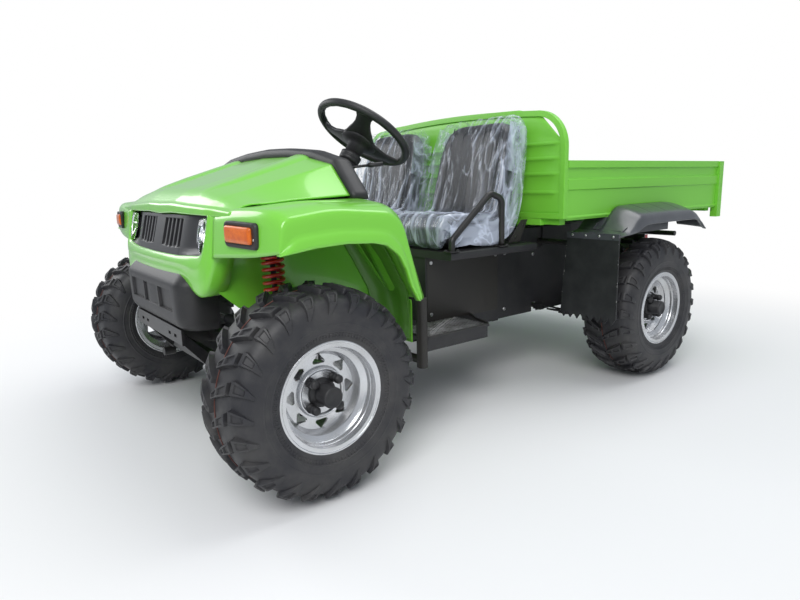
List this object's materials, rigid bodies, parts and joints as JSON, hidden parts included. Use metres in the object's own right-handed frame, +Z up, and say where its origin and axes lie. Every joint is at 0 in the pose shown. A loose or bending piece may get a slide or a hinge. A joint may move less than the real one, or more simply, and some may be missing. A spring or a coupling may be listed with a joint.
{
  "type": "side-by-side utility vehicle",
  "caption": "Side-by-side utility vehicle with lugged off-road tyres, a moulded hood and fenders, bucket seats and a tilting cargo bed with a drop-down tailgate.",
  "frame": {"origin": "middle of the footprint on the ground", "axes": "+X to the vehicle's left, +Y to its rear, +Z up; it faces -Y"},
  "size_m": [1.658, 2.8498, 1.205],
  "materials": {
    "body_green": "satin gloss",
    "bed_green": "gloss paint",
    "trim_black": "grained",
    "fender_grey": "grained",
    "bumper_grey": "grained",
    "chassis_black": "satin paint",
    "tyre": "matt",
    "rim_silver": "satin paint",
    "steel": "bare",
    "spring_red": "gloss paint",
    "lamp_clear": "clear",
    "lamp_amber": "clear amber",
    "lamp_red": "clear red",
    "seat_vinyl": "vinyl",
    "flap_rubber": "matt",
    "casting": "cast"
  },
  "bodies": {
    "chassis": {"side_rails": "chassis_black", "upper_rails": "chassis_black", "cross_members": "chassis_black", "step_tubes": "chassis_black", "damper_towers": "chassis_black", "frame_brackets": "chassis_black", "front_arms": "chassis_black", "front_dampers": "spring_red", "rack_housing": "casting", "rear_axle": "casting", "leaf_springs": "chassis_black", "hood": "body_green", "dash_cowl": "trim_black", "fender_front_left": "body_green", "fender_front_right": "body_green", "wheelhouse": "body_green", "nose_panel": "body_green", "grille": "trim_black", "headlights": "lamp_clear", "turn_signals": "lamp_amber", "front_bumper": "bumper_grey", "floor_pan": "trim_black", "seat_box": "trim_black", "power_unit": "casting", "seat_deck": "trim_black", "seat_left": "seat_vinyl", "seat_right": "seat_vinyl", "hip_bars": "chassis_black", "steering_column": "trim_black", "fender_rear_left": "fender_grey", "fender_rear_right": "fender_grey", "mud_flaps": "flap_rubber", "tail_lamps": "lamp_red"},
    "knuckle_left": {"knuckle_left": "casting"},
    "knuckle_right": {"knuckle_right": "casting"},
    "steering_rack": {"tie_rods": "steel"},
    "steering_wheel": {"steering_wheel": "trim_black"},
    "bed": {"bed_floor": "bed_green", "headboard": "bed_green", "bed_side_left": "bed_green", "bed_side_right": "bed_green"},
    "tailgate": {"tailgate": "bed_green"},
    "wheel_front_left": {"tyre_front_left": "tyre", "rim_front_left": "rim_silver"},
    "wheel_front_right": {"tyre_front_right": "tyre", "rim_front_right": "rim_silver"},
    "wheel_rear_left": {"tyre_rear_left": "tyre", "rim_rear_left": "rim_silver"},
    "wheel_rear_right": {"tyre_rear_right": "tyre", "rim_rear_right": "rim_silver"}
  },
  "joints": [
    {"name": "steering_wheel_turn", "type": "hinge", "parent": "chassis", "child": "steering_wheel", "pos_m": [0.3, -0.61959, 1.088], "axis": [0, 0.5878, 0.809], "range_deg": [-270, 270]},
    {"name": "knuckle_left_turn", "type": "hinge", "parent": "chassis", "child": "knuckle_left", "pos_m": [0.637, -1.10759, 0.31733], "axis": [0, 0, 1], "range_deg": [-25.1, 25.1]},
    {"name": "knuckle_right_turn", "type": "hinge", "parent": "chassis", "child": "knuckle_right", "pos_m": [-0.637, -1.10759, 0.31733], "axis": [0, 0, 1], "range_deg": [-25.1, 25.1]},
    {"name": "rack_slide", "type": "slide", "parent": "chassis", "child": "steering_rack", "axis": [1, 0, 0], "range_m": [-0.0446, 0.0446]},
    {"name": "wheel_front_left_spin", "type": "hinge", "parent": "knuckle_left", "child": "wheel_front_left", "pos_m": [0.705, -1.10759, 0.31733], "axis": [1, 0, 0], "continuous": true},
    {"name": "wheel_front_right_spin", "type": "hinge", "parent": "knuckle_right", "child": "wheel_front_right", "pos_m": [-0.705, -1.10759, 0.31733], "axis": [1, 0, 0], "continuous": true},
    {"name": "wheel_rear_left_spin", "type": "hinge", "parent": "chassis", "child": "wheel_rear_left", "pos_m": [0.705, 0.63841, 0.31733], "axis": [1, 0, 0], "continuous": true},
    {"name": "wheel_rear_right_spin", "type": "hinge", "parent": "chassis", "child": "wheel_rear_right", "pos_m": [-0.705, 0.63841, 0.31733], "axis": [1, 0, 0], "continuous": true},
    {"name": "bed_tilt", "type": "hinge", "parent": "chassis", "child": "bed", "pos_m": [0, 1.18241, 0.668], "axis": [-1, 0, 0], "range_deg": [0, 45]},
    {"name": "tailgate_drop", "type": "hinge", "parent": "bed", "child": "tailgate", "pos_m": [0, 1.41091, 0.741], "axis": [-1, 0, 0], "range_deg": [0, 90]}
  ],
  "couplings": [
    {"joint": "knuckle_left_turn", "follows": "steering_wheel_turn", "ratio": 0.09259},
    {"joint": "knuckle_right_turn", "follows": "steering_wheel_turn", "ratio": 0.09259},
    {"joint": "rack_slide", "follows": "steering_wheel_turn", "m_per_rad": -0.009422}
  ]
}
